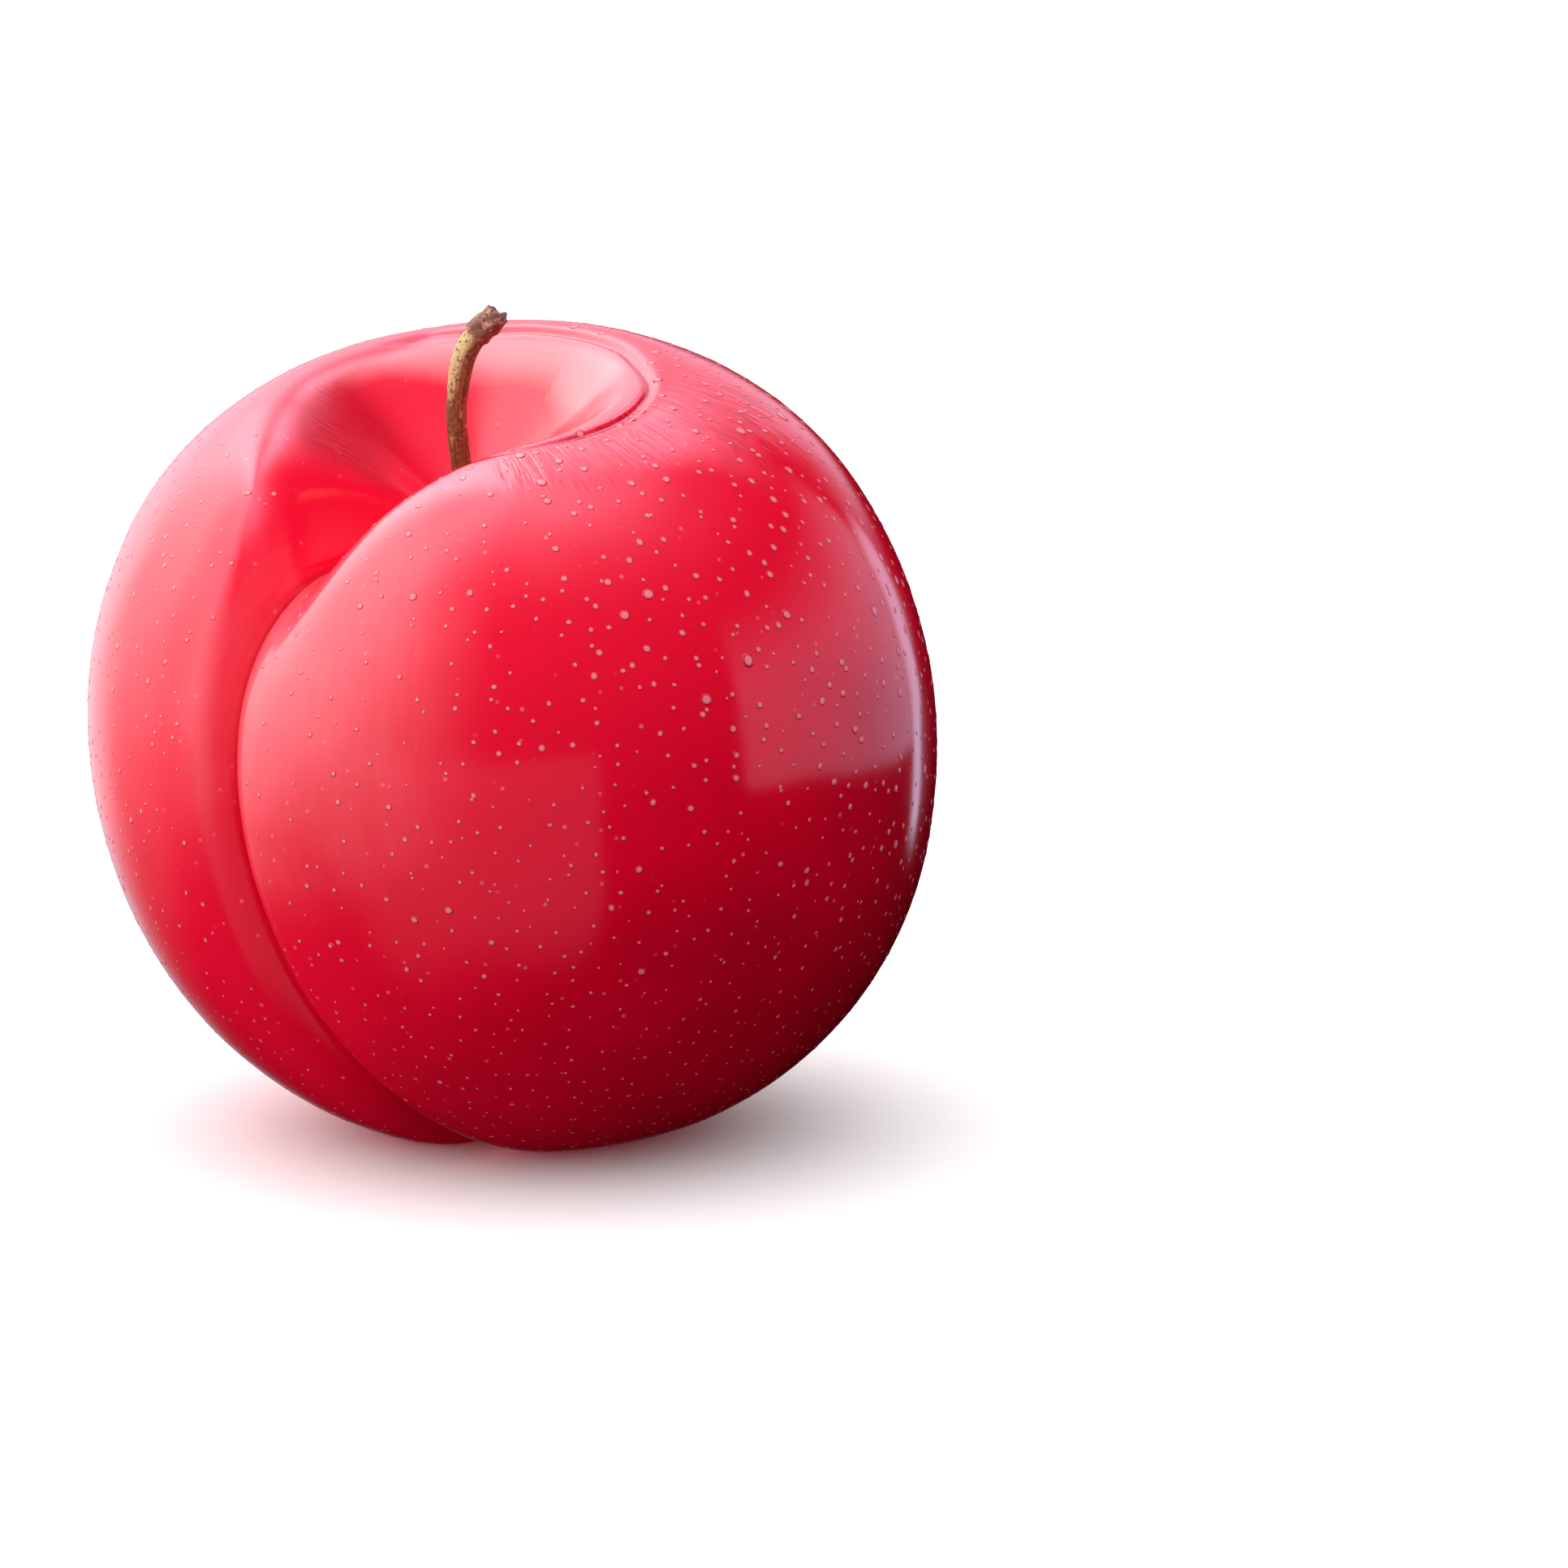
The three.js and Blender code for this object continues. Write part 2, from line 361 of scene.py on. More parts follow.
def skinPoint(azimuth, polar):
    sizes = fruitSizes
    s = math.sin(polar)
    c = math.cos(polar)
    section = 1 - sizes["cleftSideFlattening"] * math.cos(azimuth)
    section -= sizes["lobePinch"] * math.cos(2 * azimuth)
    section += sizes["rightLobeSwell"] * math.sin(azimuth)
    radius = sizes["bodyRadius"] * s * section
    height = sizes["bodyHalfHeight"] * c * (1 + sizes["shoulderFullness"] * s * s)
    height -= sizes["endShift"] * c * c * (1 + sizes["endShiftFullness"] * s * s)
    grown = 1 - math.exp(-((radius / sizes["creaseStart"]) ** 2))
    if c > 0:
        opening = troughLeft(azimuth)
        inTrough = grown * (opening / degree / sizes["troughOpening"]) ** 2
        reach = radius * math.cos(opening) * (1 + sizes["troughPinch"] * inTrough)
        bowl = sizes["bowlDepth"] * (1 + sizes["troughExtraDepth"] * inTrough)
        height -= bowl * math.exp(-((reach / sizes["bowlRadius"]) ** sizes["bowlSteepness"]))
        height -= sizes["funnelDepth"] * math.exp(-((radius / sizes["funnelRadius"]) ** 2))
    else:
        height += sizes["dimpleDepth"] * math.exp(-((radius / sizes["dimpleRadius"]) ** 2))
    onLeft = azimuth < 0
    atBack = min(max((sizes["creaseBackLimit"] * degree - abs(azimuth)) / sizes["creaseBackFade"], 0), 1)
    lip = lipProfile(radius * azimuth, sizes["leftLipWidth"] if onLeft else sizes["lipWidth"])
    across = azimuth * math.hypot(radius, sizes["valleyRounding"])
    valley = math.exp(-((across / (sizes["leftValleyWidth"] if onLeft else sizes["rightValleyWidth"])) ** 2))
    crease = alongFruit(c, *sizes["creaseDepths"])
    dip = alongFruit(c, *sizes["valleyDepths"])
    inward = grown * atBack * (crease * lip + dip * valley)
    down = (1 - c) / 2
    fromShoulder = (c - sizes["shoulderLatitude"]) / sizes["shoulderBendSpan"]
    bend = sizes["shoulderBend"] * math.exp(-(fromShoulder ** 2))
    turned = azimuth + (sizes["cleftTwist"] * down + sizes["cleftHook"] * down ** 4 + bend) * degree
    point = Vector(((radius - inward * s) * math.cos(turned) + sizes["bellyForward"] * s * s,
                    (radius - inward * s) * math.sin(turned) + sizes["blossomEndDrift"] * down,
                    height - inward * c))
    return point, lip * grown * atBack, radius


paintedSheenSizes = {                             # where painted sheen and highlights make the skin paler: mm, and degrees round the fruit
    "wallTurn": 52,                        # the painted sheen stops at the trough's left wall, turned from the light, which stays deep red
    "wallDistance": 10.6,
    "leftLow": 20,
    "leftHigh": 32,
    "leftNear": 3,
    "leftFar": 15,
    "rightNear": 6,
    "rightFar": 50,
    "rightLow": 14,
    "rightHigh": 38,
    "rightFade": (10, 12),
    "rimInside": 10.6,
    "rimNear": 11.6,
    "rimFar": 21.5,
    "rimTurns": (10, 40),
    "bowlInner": 9.2,                      # the bowl's band of painted highlight starts here, and nearer the stem at the back
    "backWidening": 1.4,
    "backTurns": (96, 135),
    "farWidening": 1.5,
    "farTurn": 150,
    "farSpan": 52,
    "bandFade": 2.2,
    "bowlOuter": (10.8, 11.6),
    "bowlTurns": (68, 86),
    "gapTurn": 130,                        # the band is fainter here
    "gapSpan": (6, 24),
    "left": 0.12,                          # how pale the painted sheen makes each place
    "right": 0.36,
    "rim": 0.05,
    "bowl": 0.85,
    "bowlGap": 0.25,
}


def paintedSheenAt(azimuth, radius, rise):
    sizes = paintedSheenSizes
    turn = azimuth / degree
    if turn < 0:
        outside = radius * math.cos(azimuth + sizes["wallTurn"] * degree) - sizes["wallDistance"]
        pale = sizes["left"] * (1 - ramp(-turn, sizes["leftNear"], sizes["leftFar"]))
        pale *= ramp(outside, 0, 1) * ramp(rise, sizes["leftLow"], sizes["leftHigh"])
    else:
        pale = sizes["right"] * (1 - ramp(turn, sizes["rightNear"], sizes["rightFar"]))
        pale *= ramp(rise, sizes["rightLow"], sizes["rightHigh"]) * ramp(radius, *sizes["rightFade"])
    if rise > sizes["leftHigh"]:
        nearRim = 1 - ramp(radius, sizes["rimNear"], sizes["rimFar"])
        nearRim *= ramp(radius, sizes["rimInside"], sizes["rimNear"])
        pale = max(pale, sizes["rim"] * nearRim * ramp(turn, *sizes["rimTurns"]))
        inner = sizes["bowlInner"] - sizes["backWidening"] * ramp(abs(turn), *sizes["backTurns"])
        inner -= sizes["farWidening"] * (1 - ramp(abs(turn - sizes["farTurn"]), 0, sizes["farSpan"]))
        inBowl = ramp(radius, inner, inner + sizes["bandFade"]) * (1 - ramp(radius, *sizes["bowlOuter"]))
        inBowl *= ramp(abs(turn), *sizes["bowlTurns"])
        inGap = 1 - ramp(abs(turn - sizes["gapTurn"]), *sizes["gapSpan"])
        pale = max(pale, (sizes["bowl"] + (sizes["bowlGap"] - sizes["bowl"]) * inGap) * inBowl)
    return pale


strokeSizes = {                            # where fine dark strokes fan out from the stem: degrees, and mm
    "lowest": 36,
    "rimTurns": (45, 62, 98, 116),
    "rimRadii": (12.6, 13.8, 15, 19.5),
    "shoulderTurns": (96, 112, 128, 150),
    "shoulderRadii": (13, 15, 19, 25),
    "wallTurns": (20, 40, 80, 100),        # on the left
    "wallRadii": (4, 7, 10, 12),
    "onShoulder": 0.8,
    "onWall": 0.4,
}


def band(value, edges):
    return ramp(value, edges[0], edges[1]) * (1 - ramp(value, edges[2], edges[3]))


def strokesAt(azimuth, radius, rise):
    sizes = strokeSizes
    turn = azimuth / degree
    if rise < sizes["lowest"]:
        return 0, 0
    nearRim = band(turn, sizes["rimTurns"]) * band(radius, sizes["rimRadii"])
    shoulder = band(turn, sizes["shoulderTurns"]) * band(radius, sizes["shoulderRadii"])
    wall = band(-turn, sizes["wallTurns"]) * band(radius, sizes["wallRadii"])
    return max(nearRim, sizes["onShoulder"] * shoulder, sizes["onWall"] * wall), wall


deselectAll()
bpy.ops.mesh.primitive_uv_sphere_add(segments=fruitSizes["columns"], ring_count=fruitSizes["rows"], radius=1)
fruit = bpy.context.object
fruit.name = "plum_fruit"
for name in ("around", "fold"):
    fruit.data.attributes.new(name, "FLOAT_VECTOR", "POINT")
for name in ("in_crease", "paintedSheen", "strokes"):
    fruit.data.attributes.new(name, "FLOAT", "POINT")
around = fruit.data.attributes["around"]
fold = fruit.data.attributes["fold"]       # mm from the fold, its strength, share of the trough's left wall
inCrease = fruit.data.attributes["in_crease"]
paintedSheen = fruit.data.attributes["paintedSheen"]
strokes = fruit.data.attributes["strokes"]
standing = (Matrix.Translation(Vector(fruitSizes["bodyCentre"]) * mm)
            @ Matrix.Rotation(-fruitSizes["leanLeft"] * degree, 4, "Y")
            @ Matrix.Rotation(fruitSizes["leanForward"] * degree, 4, "X")
            @ Matrix.Rotation(-(90 + fruitSizes["cleftTurn"]) * degree, 4, "Z"))
fromStem = []                              # each point's distance from the stem's axis, mm
for vertex in fruit.data.vertices:
    polar = math.acos(max(-1, min(1, vertex.co.z)))
    if polar < fruitSizes["rimTurn"]:
        polar += fruitSizes["rimCrowding"] * math.sin(2 * math.pi * polar / fruitSizes["rimTurn"])
    even = math.atan2(vertex.co.y, vertex.co.x)
    azimuth = even - fruitSizes["columnCrowding"] * math.sin(polar) * math.sin(even)
    point, depth, radius = skinPoint(azimuth, polar)
    fromAxis = radius if polar < 0.5 * math.pi else fruitSizes["bodyRadius"]
    coarse = point / fruitSizes["dentSpan"]
    dent = noise.noise(coarse) + fruitSizes["fineDents"] * noise.noise(coarse / fruitSizes["fineDentSpan"])
    dent *= ramp(fromAxis, *fruitSizes["dentFade"])
    distance, strength = fromFold(azimuth, fromAxis)
    groove = fruitSizes["foldDepth"] * strength * math.exp(-((distance / fruitSizes["foldWidth"]) ** 2))
    point -= (fruitSizes["unevenness"] * (1 + dent) + groove) * point.normalized()
    around.data[vertex.index].vector = (math.cos(azimuth), math.sin(azimuth), polar)
    inCrease.data[vertex.index].value = depth
    vertex.co = standing @ (point * mm)
    paintedSheen.data[vertex.index].value = paintedSheenAt(azimuth, radius, vertex.co.z / mm)
    strokes.data[vertex.index].value, onWall = strokesAt(azimuth, radius, vertex.co.z / mm)
    fold.data[vertex.index].vector = (distance, strength, onWall)
    fromStem.append(fromAxis)
for vertex in fruit.data.vertices:         # pressed flat where it bears on the table
    z = vertex.co.z / mm
    vertex.co.z = 0.5 * (z + math.hypot(z, fruitSizes["restSoftness"])) * mm
bpy.ops.object.shade_smooth()
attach(fruit, "root")
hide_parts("fruit")
print("fruit shaped")


skinLook = {
    "deep": (0.52, 0.0006, 0.016, 1),
    "ripe": (0.76, 0.0008, 0.024, 1),
    "bright": (0.78, 0.0010, 0.028, 1),
    "lowRipeAndShade": -6 * mm,                    # heights between which the colour turns from deep to bright, partly the fruit's own colour and partly painted shade
    "highRipeAndShade": 50 * mm,
    "shadeShift": 0.85,                    # painted shade: the side away from the light is painted deeper red
    "cloudScale": 75,
    "clouds": 0.7,
    # pale pink of the painted sheen and highlights
    "paintedSheen": (0.90, 0.24, 0.27, 1),
    "paintedSheenClouds": 0.5,
    "paintedSheenFibres": 0.1,
    "paintedSheenEdge": 0.12,                     # the painted sheen fades out below this
    "paintedSheenStretch": (60, 60, 7),           # across and along the lines from stem to tip
    "dot": (0.80, 0.16, 0.19, 1),
    "dotScale": 800,
    "dotRadius": 0.15,
    "dotCore": 0.4,                        # share of a dot that is evenly pale
    "dotRarity": 0.3,                      # share of the cells that have no dot
    "dotStrength": 0.75,
    # dark red of the skin's fine strokes, also used for the painted shade in the fold and the crease
    "streakAndShade": (0.46, 0.0006, 0.020, 1),
    "strokeStretch": (38, 38, 11),
    "strokeEdges": (0.5, 0.66),
    "strokeStrength": 0.75,
    "strokeRelief": 0.15 * mm,
    "strokeBump": 0.6,
    "wallPaintedShade": 0.8,
    "foldShadeLine": 0.34,                      # half width of the painted shade line in the fold, mm
    "foldWander": 1.0,
    "foldBreaks": (0.2, 0.5),              # the painted shade line is fainter in places, down to this share
    "foldFaintest": 0.6,
    "creaseStart": 0.45,
    "creaseShadeStrength": 0.6,
    "roughness": 0.13,
    "glowThrough": 0.1,                    # how much light passes in under the skin, how deep, and its colour
    "glowDepth": 1.2 * mm,
    "glowColour": (1.0, 0.12, 0.1),
}


def addSkinColour(tree):
    place = objectPlace(tree)
    across, _, up = splitVector(tree, place)
    # painted shade: the colour follows height and the side turned from the light, so the shaded side is
    # painted deeper red
    towardsLight = calculate(tree, "MULTIPLY_ADD", across, -skinLook["shadeShift"], up)
    rise = remap(tree, towardsLight, skinLook["lowRipeAndShade"], skinLook["highRipeAndShade"], curve="LINEAR")
    clouds = addNoise(tree, place, skinLook["cloudScale"], detail=3)
    ripenessAndShade = sway(tree, clouds, skinLook["clouds"], rise)
    lower = mixColours(tree, remap(tree, ripenessAndShade, 0, 0.5), skinLook["deep"], skinLook["ripe"])
    colour = mixColours(tree, remap(tree, ripenessAndShade, 0.5, 1), lower, skinLook["bright"])
    # painted sheen and highlights: the skin is painted paler where it catches the light
    pale = readAttribute(tree, "paintedSheen")
    direction = readAttribute(tree, "around", "Vector")
    fibre = addNoise(tree, stretchVector(tree, direction, skinLook["paintedSheenStretch"]), 1, detail=3)
    patches = sway(tree, clouds, skinLook["paintedSheenClouds"], pale)
    patches = sway(tree, fibre, skinLook["paintedSheenFibres"], patches)
    patches = calculate(tree, "MULTIPLY", remap(tree, pale, 0, skinLook["paintedSheenEdge"]), patches)
    return mixColours(tree, remap(tree, patches, 0, 1, curve="LINEAR"), colour, skinLook["paintedSheen"])


def addStrokes(tree, colour):
    direction = readAttribute(tree, "around", "Vector")
    fibre = addNoise(tree, stretchVector(tree, direction, skinLook["strokeStretch"]), 1)
    here = readAttribute(tree, "strokes")
    distance, strength, onWall = splitVector(tree, readAttribute(tree, "fold", "Vector"))
    # painted shade: the trough's left wall is painted deeper red
    wallShade = calculate(tree, "MULTIPLY", onWall, skinLook["wallPaintedShade"])
    colour = mixColours(tree, wallShade, colour, skinLook["deep"])
    streaks = remap(tree, fibre, *skinLook["strokeEdges"], 0, skinLook["strokeStrength"])
    dark = calculate(tree, "MULTIPLY", streaks, here)
    colour = mixColours(tree, dark, colour, skinLook["streakAndShade"])

    # painted shade: a dark line along the fold round the bowl's rim
    wander = sway(tree, fibre, skinLook["foldWander"], distance)
    away = calculate(tree, "POWER", calculate(tree, "DIVIDE", wander, skinLook["foldShadeLine"]), 2)
    line = calculate(tree, "EXPONENT", calculate(tree, "MULTIPLY", away, -1))
    line = calculate(tree, "MULTIPLY", line, strength)
    breaks = remap(tree, fibre, *skinLook["foldBreaks"], skinLook["foldFaintest"], 1)
    line = calculate(tree, "MULTIPLY", line, breaks)
    height = {"Strength": skinLook["strokeBump"], "Distance": skinLook["strokeRelief"]}
    relief = addNode(tree, "ShaderNodeBump", height)
    sunk = calculate(tree, "MULTIPLY", calculate(tree, "MULTIPLY", fibre, here), -1)
    tree.links.new(sunk, relief.inputs["Height"])
    return relief.outputs["Normal"], mixColours(tree, line, colour, skinLook["streakAndShade"])


def paintSkin():
    material, tree = newMaterial("plum_skin")
    shader = tree.nodes["Principled BSDF"]
    shader.inputs["Roughness"].default_value = skinLook["roughness"]
    shader.inputs["Subsurface Weight"].default_value = skinLook["glowThrough"]
    shader.inputs["Subsurface Radius"].default_value = skinLook["glowColour"]
    shader.inputs["Subsurface Scale"].default_value = skinLook["glowDepth"]
    normal, colour = addStrokes(tree, addSkinColour(tree))
    tree.links.new(normal, shader.inputs["Normal"])
    cells = addNode(tree, "ShaderNodeTexVoronoi", {"Scale": skinLook["dotScale"]})
    tree.links.new(objectPlace(tree), cells.inputs["Vector"])
    chosen = splitVector(tree, cells.outputs["Color"])[0]
    radius = skinLook["dotRadius"]
    dots = remap(tree, cells.outputs["Distance"], radius, skinLook["dotCore"] * radius)
    strength = remap(tree, chosen, skinLook["dotRarity"], 1, 0, skinLook["dotStrength"])
    dots = calculate(tree, "MULTIPLY", dots, strength)
    colour = mixColours(tree, dots, colour, skinLook["dot"])
    # painted shade: the cleft's crease is darkened with the dark red
    depth = readAttribute(tree, "in_crease")
    crease = remap(tree, depth, skinLook["creaseStart"], 1, 0, skinLook["creaseShadeStrength"])
    tree.links.new(mixColours(tree, crease, colour, skinLook["streakAndShade"]), shader.inputs["Base Color"])
    return material


fruit.data.materials.append(paintSkin())
print("skin painted")


lenticels = {                              # mm: the pale raised dots of the skin
    "tries": 4600,
    "radius": 0.175,
    "variation": 0.26,
    "stretch": (0.8, 1.2),
    "castFrom": 60,                        # well outside the fruit
    "scatter": 0.013,                      # how far each dot strays from an even spread
    "largest": 0.8,                        # growth of the largest, on the upper right
    "largestSpan": (35, 52),
    "rarity": 1.2,
    "smallest": 0.25,                      # shrinking of the lowest
    "smallestSpan": (-22, -6),
    "kept": 0.6,                           # share of the tries that are kept, and how much more on the right
    "keptMore": 0.3,
    "keptSpan": (-22, 0),
    "keptLean": 0.3,
    "clearOfStem": 13,
    "mostCrease": 0.02,                    # none in the crease
    "lowest": 0.2,                         # none where the fruit bears on the table
    "height": 0.05,
    "sunk": 0.018,
    "sides": 8,
    "rings": 4,
    "shadowRingEdges": (0, 0.2),                 # painted shadow round each raised dot, from the dot's edge, 0, to its middle, 1
    "shadowRingStrength": 0.9,
    "coreEdges": (0.3, 0.5),
    "core": (0.82, 0.17, 0.22, 1),
    # deep red of the painted shadow ring round each dot
    "ring": (0.50, 0.0006, 0.020, 1),
    "roughness": 0.3,
}


def paintLenticels():
    material, tree = newMaterial("plum_lenticel")
    shader = tree.nodes["Principled BSDF"]
    shader.inputs["Roughness"].default_value = lenticels["roughness"]
    core = readAttribute(tree, "core")
    # painted shadow: a dark ring round the edge of each raised dot
    ring = remap(tree, core, *lenticels["shadowRingEdges"], 0, lenticels["shadowRingStrength"])
    colour = mixColours(tree, ring, addSkinColour(tree), lenticels["ring"])
    colour = mixColours(tree, remap(tree, core, *lenticels["coreEdges"]), colour, lenticels["core"])
    tree.links.new(colour, shader.inputs["Base Color"])
    return material


def chooseSpots():
    mesh = fruit.data
    skin = BVHTree.FromPolygons([v.co for v in mesh.vertices], [p.vertices for p in mesh.polygons])
    centre = Vector(fruitSizes["bodyCentre"]) * mm
    goldenAngle = math.pi * (3 - math.sqrt(5))
    spots = []
    for i in range(lenticels["tries"]):
        height = 1 - 2 * (i + 0.5) / lenticels["tries"]
        level = math.sqrt(1 - height * height)
        direction = Vector((math.cos(goldenAngle * i) * level, math.sin(goldenAngle * i) * level, height))
        direction += lenticels["scatter"] * Vector([random.gauss(0, 1) for axis in range(3)])
        direction.normalize()
        place, normal, face, _ = skin.ray_cast(centre + lenticels["castFrom"] * mm * direction, -direction)
        nearest = mesh.polygons[face].vertices[0]
        x, z = place.x / mm, place.z / mm
        rightward = ramp(x - lenticels["keptLean"] * z, *lenticels["keptSpan"])
        kept = lenticels["kept"] + lenticels["keptMore"] * rightward
        nearStem = fromStem[nearest] < lenticels["clearOfStem"]
        if nearStem or inCrease.data[nearest].value > lenticels["mostCrease"]:
            continue
        if random.random() > kept or z < lenticels["lowest"]:
            continue
        size = lenticels["radius"] * math.exp(random.gauss(0, lenticels["variation"]))
        size *= 1 - lenticels["smallest"] * ramp(-z, *lenticels["smallestSpan"])
        growth = lenticels["largest"] * random.random() ** lenticels["rarity"]
        size *= 1 + growth * ramp(x + z, *lenticels["largestSpan"])
        width = size * random.uniform(*lenticels["stretch"])
        scale = Matrix.Diagonal((width, size, lenticels["height"], 1 / mm)) * mm
        facingOut = normal.to_track_quat("Z", "Y").to_matrix().to_4x4()
        spin = Matrix.Rotation(random.uniform(0, math.pi), 4, "Z")
        moved = Matrix.Translation(place - lenticels["sunk"] * mm * normal)
        spots.append((nearest, moved @ facingOut @ spin @ scale))
    return spots


def addLenticels():
    spots = chooseSpots()
    deselectAll()
    bpy.ops.mesh.primitive_uv_sphere_add(segments=lenticels["sides"], ring_count=lenticels["rings"], radius=1,
                                         location=(0, 0, 0))
    dot = bpy.context.object
    bpy.ops.object.shade_smooth()
    core = dot.data.attributes.new("core", "FLOAT", "POINT")
    for vertex in dot.data.vertices:
        core.data[vertex.index].value = 1 - math.hypot(vertex.co.x, vertex.co.y)
    dot.data.attributes.new("paintedSheen", "FLOAT", "POINT")
    dot.data.attributes.new("around", "FLOAT_VECTOR", "POINT")
    corners = len(dot.data.vertices)
    made = []
    for nearest, placing in spots:
        copy = bpy.data.objects.new("lenticel", dot.data.copy())
        copy.data.transform(placing)
        copy.data.attributes["paintedSheen"].data.foreach_set("value", [paintedSheen.data[nearest].value] * corners)
        copy.data.attributes["around"].data.foreach_set("vector", list(around.data[nearest].vector) * corners)
        made.append(copy)
    for copy in made:
        bpy.context.collection.objects.link(copy)
    bpy.data.objects.remove(dot)
    deselectAll()
    for copy in made:
        copy.select_set(True)
    bpy.context.view_layer.objects.active = made[0]
    bpy.ops.object.join()
    joined = bpy.context.object
    joined.name = "plum_lenticels"
    print(len(made), "lenticels made")
    return joined


dots = addLenticels()
dots.data.materials.append(paintLenticels())
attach(dots, "root")
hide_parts("fruit")


stemSizes = {                              # mm
    "line": ((-0.7, -1.8, 42.2), (-1.45, -2.95, 46.4), (-1.45, -4.05, 51.2),
             (-0.7, -4.58, 53.85), (1.25, -4.82, 56.05)),
    "length": 15.2,
    "radius": 0.66,
    "footFlare": 0.42,
    "footHeight": 0.9,
    "neckRadius": 0.80,                    # where the stem widens under its cap
    "neckStart": 0.66,                     # share of the length
    "neckSpan": 1.6,
    "capRadius": 0.98,
    "capLength": 2.1,
    "capStep": 0.12,
    "capTaper": 0.16,
    "cutRings": (0.8, 0.75, 0.66, 0.5),    # each ring of the cut face, as a share of the one outside it
    "cutRoughness": 0.16,
    "cutScale": 2.2,
    "splinter": 0.5,
    "splinterPlace": 0.45,
    "splinterNarrowing": 3,
    "splinterSpan": 0.08,                  # square mm
    "ridges": (0.07, 3.2, 0.25),           # share of the radius, and how many round and along the stem
    "fineRidges": (0.05, 9, 0.9),
    "capLumps": (0.16, 2.4, 1.5),
    "capLumpFade": 0.5,
    "capLumpShift": 5,
    "sides": 40,
    "step": 0.2,
    "guideSteps": 24,                      # between two points of the line
    "endMargin": 0.01,                     # what lies this close to the end is the cut face
}


def stemRadius(along, length):
    sizes = stemSizes
    foot = sizes["footFlare"] * math.exp(-((along / sizes["footHeight"]) ** 2))
    widening = 0.5 * (1 + math.tanh((along - sizes["neckStart"] * length) / sizes["neckSpan"]))
    radius = sizes["radius"] + (sizes["neckRadius"] - sizes["radius"]) * widening + foot
    intoCap = along - (length - sizes["capLength"])
    step = 0.5 * (1 + math.tanh(intoCap / sizes["capStep"]))
    taper = 1 - sizes["capTaper"] * max(intoCap / sizes["capLength"], 0) ** 2
    return (radius + (sizes["capRadius"] - radius) * step) * taper


def bark(ring, along, pattern, start=0):
    height, roundScale, alongScale = pattern
    return height * noise.noise(ring * roundScale + Vector((start, 0, alongScale * along)))


def makeStem():
    sizes = stemSizes
    deselectAll()
    bpy.ops.curve.primitive_bezier_curve_add(enter_editmode=False)
    guide = bpy.context.object
    spline = guide.data.splines[0]
    spline.bezier_points.add(len(sizes["line"]) - 2)
    for handle, place in zip(spline.bezier_points, sizes["line"]):
        handle.co = Vector(place) * mm
        handle.handle_left_type = "AUTO"
        handle.handle_right_type = "AUTO"
    guide.data.resolution_u = sizes["guideSteps"]
    guide.location = (0, 0, 0)
    length = spline.calc_length() / mm

    deselectAll()
    bpy.ops.mesh.primitive_circle_add(vertices=sizes["sides"], radius=stemRadius(0, length) * mm,
                                      fill_type="NGON", location=(0, 0, 0))
    made = bpy.context.object
    made.name = "plum_stem"
    bpy.ops.object.mode_set(mode="EDIT")
    bpy.ops.mesh.select_all(action="SELECT")
    steps = round(length / sizes["step"])
    for i in range(steps):
        before = stemRadius(i * length / steps, length)
        after = stemRadius((i + 1) * length / steps, length)
        bpy.ops.mesh.extrude_region_move(TRANSFORM_OT_translate={"value": (0, 0, length / steps * mm)})
        share = after / before
        bpy.ops.transform.resize(value=(share, share, 1))
    for share in sizes["cutRings"]:
        bpy.ops.mesh.extrude_region_move(TRANSFORM_OT_translate={"value": (0, 0, 0)})
        bpy.ops.transform.resize(value=(share, share, 1))
    bpy.ops.object.mode_set(mode="OBJECT")

    grain = made.data.attributes.new("grain", "FLOAT_VECTOR", "POINT")
    capStart = length - sizes["capLength"]
    for vertex in made.data.vertices:
        x, y, along = vertex.co / mm
        angle = math.atan2(y, x)
        ring = Vector((math.cos(angle), math.sin(angle), 0))
        inCap = min(max((along - capStart) / sizes["capLumpFade"], 0), 1)
        swell = 1 + bark(ring, along, sizes["ridges"]) + bark(ring, along, sizes["fineRidges"])
        swell += bark(ring, along, sizes["capLumps"], sizes["capLumpShift"]) * inCap
        lift = 0.0
        if along > length - sizes["endMargin"]:
            radius = math.hypot(x, y)
            aside = (radius - sizes["splinterPlace"]) ** 2
            aside += sizes["splinterNarrowing"] * (radius * angle) ** 2
            onCut = Vector((sizes["cutScale"] * x, sizes["cutScale"] * y, 3))
            lift = sizes["cutRoughness"] * noise.noise(onCut)
            lift += sizes["splinter"] * math.exp(-aside / sizes["splinterSpan"])
        grain.data[vertex.index].vector = (ring.x, ring.y, along / length)
        vertex.co = Vector((x * swell, y * swell, along + lift)) * mm

    bend = made.modifiers.new("bend", "CURVE")
    bend.object = guide
    bend.deform_axis = "POS_Z"
    deselectAll()
    made.select_set(True)
    bpy.context.view_layer.objects.active = made
    bpy.ops.object.modifier_apply(modifier=bend.name)
    bpy.data.objects.remove(guide)
    bpy.ops.object.shade_smooth()
    return made


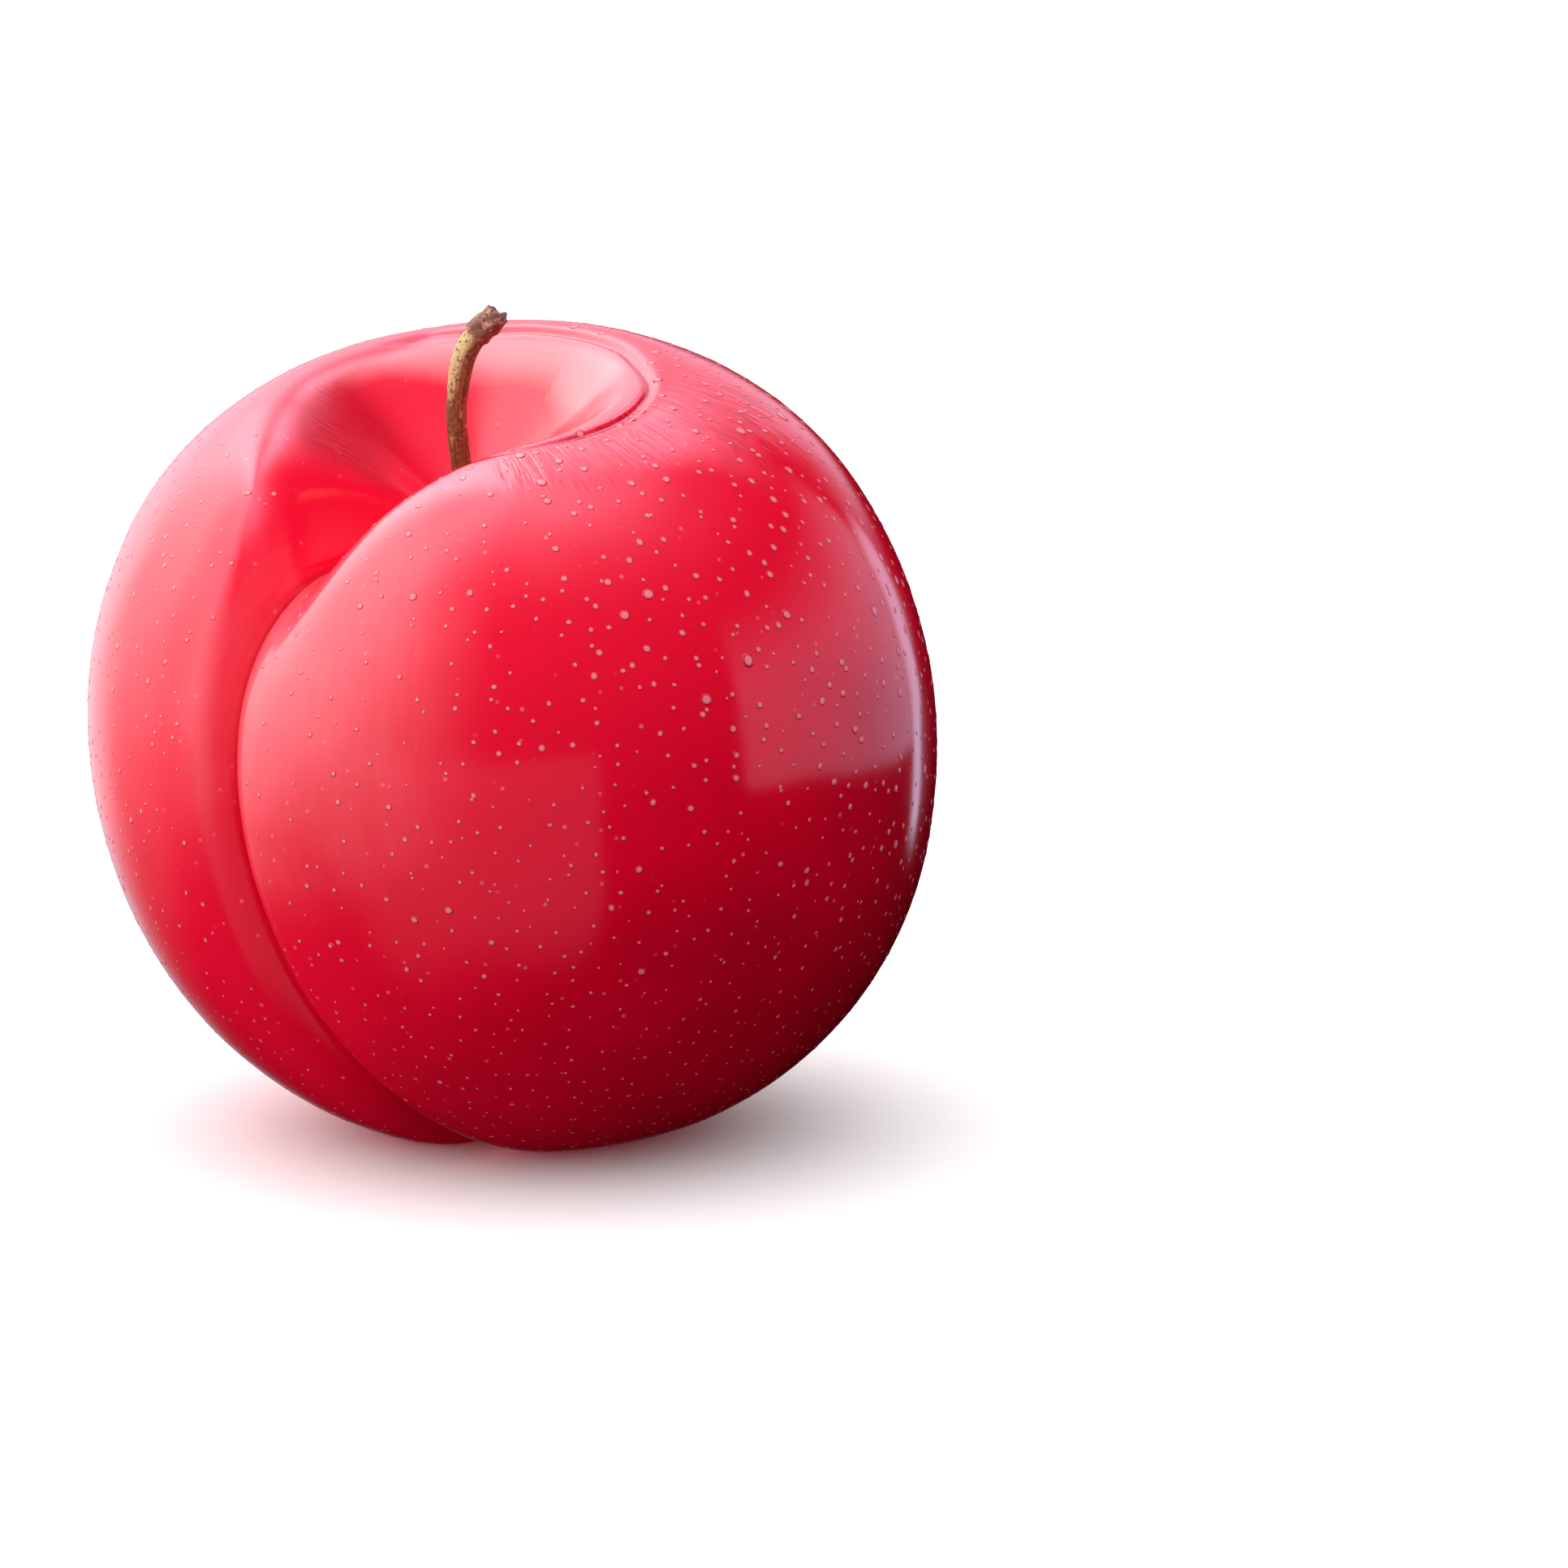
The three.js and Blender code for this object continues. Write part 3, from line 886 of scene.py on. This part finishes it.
stemLook = {
    "brown": (0.25, 0.090, 0.028, 1),
    "dark": (0.105, 0.038, 0.012, 1),
    "tan": (0.60, 0.44, 0.20, 1),
    "cap": (0.20, 0.055, 0.036, 1),
    "capFibre": (0.50, 0.24, 0.15, 1),
    "capSpeck": (0.055, 0.012, 0.010, 1),
    "paleSpot": (0.50, 0.26, 0.13, 1),
    "mottling": 0.9,
    "mottleEdges": (0.38, 0.62),
    "paleSpots": (0.6, 0.7),
    "paleSpotStrength": 0.8,
    "tanEdges": (0.54, 0.66),              # shares of the length between which the tan starts
    "tanWander": 0.25,
    "tanMottle": (0.30, 0.52),
    "tanLitSide": (0.75, 0.1),                # painted light: the tan is kept to the stem's lit left, with none on its right
    "capFibres": (0.5, 0.64),
    "capSpecks": (0.54, 0.64),
    "capEdges": (-0.01, 0.015),            # before and after the step, as shares of the length
    "capWander": 0.1,
    "fibreScale": 4.5,
    "lumpScale": 1500,
    "speckScale": 4200,
    "roughness": 0.62,
    "barkHeight": 0.08 * mm,
    "barkBump": 0.5,
}


def paintStem():
    material, tree = newMaterial("stem_bark")
    shader = tree.nodes["Principled BSDF"]
    shader.inputs["Roughness"].default_value = stemLook["roughness"]
    grain = readAttribute(tree, "grain", "Vector")
    side, _, along = splitVector(tree, grain)
    fibre = addNoise(tree, grain, stemLook["fibreScale"], detail=5, roughness=0.65)
    lumps = addNoise(tree, objectPlace(tree), stemLook["lumpScale"], detail=3)
    specks = addNoise(tree, objectPlace(tree), stemLook["speckScale"])
    mottle = sway(tree, specks, stemLook["mottling"], fibre)
    brownness = remap(tree, mottle, *stemLook["mottleEdges"])
    colour = mixColours(tree, brownness, stemLook["dark"], stemLook["brown"])
    paleSpots = remap(tree, lumps, *stemLook["paleSpots"], 0, stemLook["paleSpotStrength"])
    colour = mixColours(tree, paleSpots, colour, stemLook["paleSpot"])
    # partly the stem's own tan, partly painted light on its lit left side
    tanAndPaintedLight = remap(tree, sway(tree, lumps, stemLook["tanWander"], along), *stemLook["tanEdges"])
    tanAndPaintedLight = calculate(tree, "MULTIPLY", tanAndPaintedLight, remap(tree, mottle, *stemLook["tanMottle"]))
    tanAndPaintedLight = calculate(tree, "MULTIPLY", tanAndPaintedLight, remap(tree, side, *stemLook["tanLitSide"]))
    colour = mixColours(tree, tanAndPaintedLight, colour, stemLook["tan"])
    capFibres = remap(tree, lumps, *stemLook["capFibres"])
    capTone = mixColours(tree, capFibres, stemLook["cap"], stemLook["capFibre"])
    capTone = mixColours(tree, remap(tree, specks, *stemLook["capSpecks"]), capTone, stemLook["capSpeck"])
    capStart = 1 - stemSizes["capLength"] / stemSizes["length"]
    before, after = stemLook["capEdges"]
    wander = sway(tree, fibre, stemLook["capWander"], along)
    inCap = remap(tree, wander, capStart + before, capStart + after)
    tree.links.new(mixColours(tree, inCap, colour, capTone), shader.inputs["Base Color"])
    height = {"Strength": stemLook["barkBump"], "Distance": stemLook["barkHeight"]}
    bump = addNode(tree, "ShaderNodeBump", height)
    tree.links.new(calculate(tree, "ADD", fibre, lumps), bump.inputs["Height"])
    tree.links.new(bump.outputs["Normal"], shader.inputs["Normal"])
    return material


stem = makeStem()
stem.data.materials.append(paintStem())
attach(stem, "root")
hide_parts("stem")
print("stem made")
